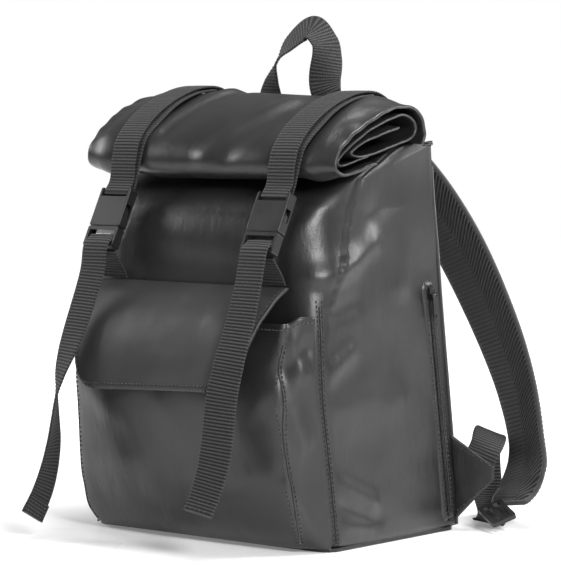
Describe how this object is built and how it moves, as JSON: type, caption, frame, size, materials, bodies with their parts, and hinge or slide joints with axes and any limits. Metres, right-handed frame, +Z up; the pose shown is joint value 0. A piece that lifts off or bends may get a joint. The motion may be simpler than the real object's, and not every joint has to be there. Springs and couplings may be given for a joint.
{
  "type": "roll-top leather backpack",
  "caption": "Grey leather roll-top backpack with a flap pocket, webbing straps with side release buckles, a side zip, a grab handle and padded shoulder straps.",
  "frame": {"origin": "middle of the underside of the base, where the bag stands on a floor", "axes": "+Z up, the front with its flap pocket faces -Y, the back panel faces +Y, the side with the zip is +X"},
  "size_m": [0.4138, 0.4129, 0.4732],
  "materials": {
    "grey_leather": "smooth dark grey faux leather with a fine grain and a soft sheen",
    "black_webbing": "ribbed black polyamide webbing",
    "black_plastic": "moulded black acetal, semi gloss",
    "lining": "thin woven lining",
    "foam": "closed cell foam",
    "air_mesh": "padded air mesh with bound leather edge",
    "zip_metal": "black painted zip metal",
    "zip_tape": "woven zip tape with moulded teeth"
  },
  "bodies": {
    "bag": {"back_foam": "foam", "back_panel": "air_mesh", "base_board": "black_plastic", "base_panel": "grey_leather", "buckle_socket_left": "black_plastic", "buckle_socket_right": "black_plastic", "closing_strap_left": "black_webbing", "closing_strap_right": "black_webbing", "front_panel": "grey_leather", "handle_patch": "grey_leather", "laptop_sleeve": "lining", "lining": "lining", "neck_back": "grey_leather", "neck_front": "grey_leather", "pocket_bottom": "grey_leather", "pocket_front": "grey_leather", "pocket_gusset_left": "grey_leather", "pocket_gusset_right": "grey_leather", "roll_core": "grey_leather", "roll_outer": "grey_leather", "side_panel_left": "grey_leather", "side_panel_right": "grey_leather", "strap_anchor_left": "black_webbing", "strap_anchor_right": "black_webbing", "strap_yoke_left": "grey_leather", "strap_yoke_right": "grey_leather", "wing_left": "grey_leather", "wing_right": "grey_leather", "zip_stops": "zip_tape", "zip_tape": "zip_tape", "zip_teeth": "zip_tape"},
    "flap": {"flap": "grey_leather"},
    "zip_slider": {"zip_slider": "zip_metal"},
    "zip_puller": {"zip_puller": "zip_metal"},
    "handle": {"grab_handle": "black_webbing"},
    "plug_left": {"buckle_plug_left": "black_plastic"},
    "prong_outer_left": {"prong_outer_left": "black_plastic"},
    "prong_inner_left": {"prong_inner_left": "black_plastic"},
    "tail_left": {"strap_tail_left": "black_webbing"},
    "shoulder_left": {"shoulder_pad_left": "air_mesh", "adjuster_webbing_left": "black_webbing", "ladder_lock_left": "black_plastic"},
    "plug_right": {"buckle_plug_right": "black_plastic"},
    "prong_outer_right": {"prong_outer_right": "black_plastic"},
    "prong_inner_right": {"prong_inner_right": "black_plastic"},
    "tail_right": {"strap_tail_right": "black_webbing"},
    "shoulder_right": {"shoulder_pad_right": "air_mesh", "adjuster_webbing_right": "black_webbing", "ladder_lock_right": "black_plastic"}
  },
  "joints": [
    {"name": "flap_open", "type": "hinge", "parent": "bag", "child": "flap", "pos_m": [0, -0.10861, 0.228], "axis": [-1, 0, 0], "range_deg": [0, 80]},
    {"name": "buckle_release_right", "type": "slide", "parent": "bag", "child": "plug_right", "axis": [0, 0.454, 0.891], "range_m": [-0.022, 0], "deforming": ["prong_outer_right", "prong_inner_right", "strap_anchor_right"]},
    {"name": "prong_outer_right_squeeze", "type": "hinge", "parent": "plug_right", "child": "prong_outer_right", "pos_m": [0.107, -0.1168, 0.27903], "axis": [0, -0.891, 0.454], "range_deg": [0, 9], "stiffness_Nm_per_rad": 0.4},
    {"name": "prong_inner_right_squeeze", "type": "hinge", "parent": "plug_right", "child": "prong_inner_right", "pos_m": [0.081, -0.1168, 0.27903], "axis": [0, -0.891, 0.454], "range_deg": [-9, 0], "stiffness_Nm_per_rad": 0.4},
    {"name": "tail_swing_right", "type": "hinge", "parent": "plug_right", "child": "tail_right", "pos_m": [0.094, -0.12202, 0.26879], "axis": [-1, 0, 0], "range_deg": [-1, 90]},
    {"name": "buckle_release_left", "type": "slide", "parent": "bag", "child": "plug_left", "axis": [0, 0.454, 0.891], "range_m": [-0.022, 0], "deforming": ["prong_outer_left", "prong_inner_left", "strap_anchor_left"]},
    {"name": "prong_outer_left_squeeze", "type": "hinge", "parent": "plug_left", "child": "prong_outer_left", "pos_m": [-0.107, -0.1168, 0.27903], "axis": [0, 0.891, -0.454], "range_deg": [0, 9], "stiffness_Nm_per_rad": 0.4},
    {"name": "prong_inner_left_squeeze", "type": "hinge", "parent": "plug_left", "child": "prong_inner_left", "pos_m": [-0.081, -0.1168, 0.27903], "axis": [0, 0.891, -0.454], "range_deg": [-9, 0], "stiffness_Nm_per_rad": 0.4},
    {"name": "tail_swing_left", "type": "hinge", "parent": "plug_left", "child": "tail_left", "pos_m": [-0.094, -0.12202, 0.26879], "axis": [-1, 0, 0], "range_deg": [-1, 90]},
    {"name": "zip_slide", "type": "slide", "parent": "bag", "child": "zip_slider", "axis": [0.0267, 0.1157, -0.9929], "range_m": [0, 0.1945]},
    {"name": "zip_puller_lift", "type": "hinge", "parent": "zip_slider", "child": "zip_puller", "pos_m": [0.14426, 0.05998, 0.21814], "axis": [0, -0.9933, -0.1157], "range_deg": [0, 150]},
    {"name": "handle_fold", "type": "hinge", "parent": "bag", "child": "handle", "pos_m": [0, 0.05, 0.3765], "axis": [-1, 0, 0], "range_deg": [-12, 70]},
    {"name": "shoulder_swing_right", "type": "hinge", "parent": "bag", "child": "shoulder_right", "pos_m": [0.057, 0.088, 0.354], "axis": [0.3281, 0.0558, -0.943], "range_deg": [-5, 12]},
    {"name": "shoulder_swing_left", "type": "hinge", "parent": "bag", "child": "shoulder_left", "pos_m": [-0.057, 0.088, 0.354], "axis": [0.3281, -0.0558, 0.943], "range_deg": [-5, 12]}
  ],
  "couplings": [
    {"joint": "prong_inner_right_squeeze", "follows": "prong_outer_right_squeeze", "ratio": -1},
    {"joint": "tail_swing_right", "follows": "flap_open", "ratio": 1.1},
    {"joint": "prong_inner_left_squeeze", "follows": "prong_outer_left_squeeze", "ratio": -1},
    {"joint": "tail_swing_left", "follows": "flap_open", "ratio": 1.1}
  ]
}
